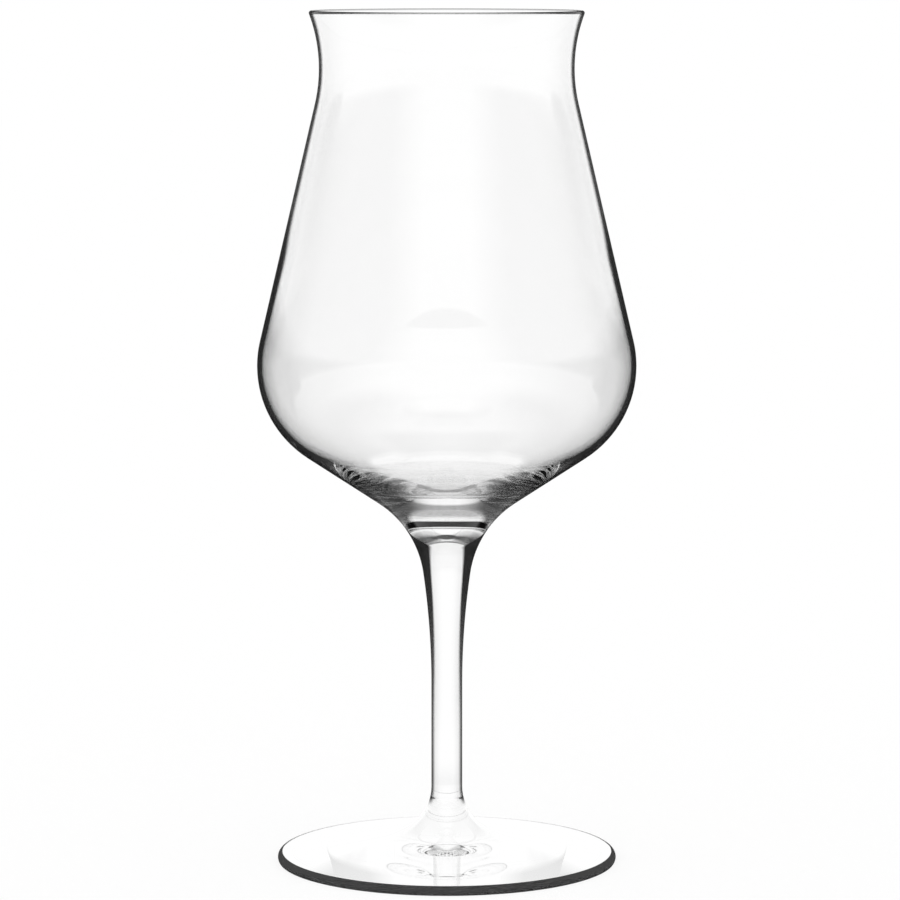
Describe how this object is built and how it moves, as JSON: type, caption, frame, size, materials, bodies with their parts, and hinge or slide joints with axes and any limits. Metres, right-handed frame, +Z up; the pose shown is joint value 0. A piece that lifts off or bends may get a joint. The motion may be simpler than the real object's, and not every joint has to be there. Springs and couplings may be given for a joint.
{
  "type": "beer glass",
  "caption": "Stemmed beer tasting glass in one piece of clear glass: thin tulip bowl with a drawn-in neck and flared lip, solid drawn stem and a round foot.",
  "frame": {"origin": "middle of the foot, on the plane that the glass stands on", "axes": "+Z up along the glass's axis, from the foot to the lip; X and Y are any two directions at right angles to it, since the glass is round"},
  "size_m": [0.0864, 0.0864, 0.195],
  "materials": {
    "glass": "clear fire-polished soda-lime glass"
  },
  "bodies": {
    "root": {"glass": "glass"}
  },
  "joints": []
}
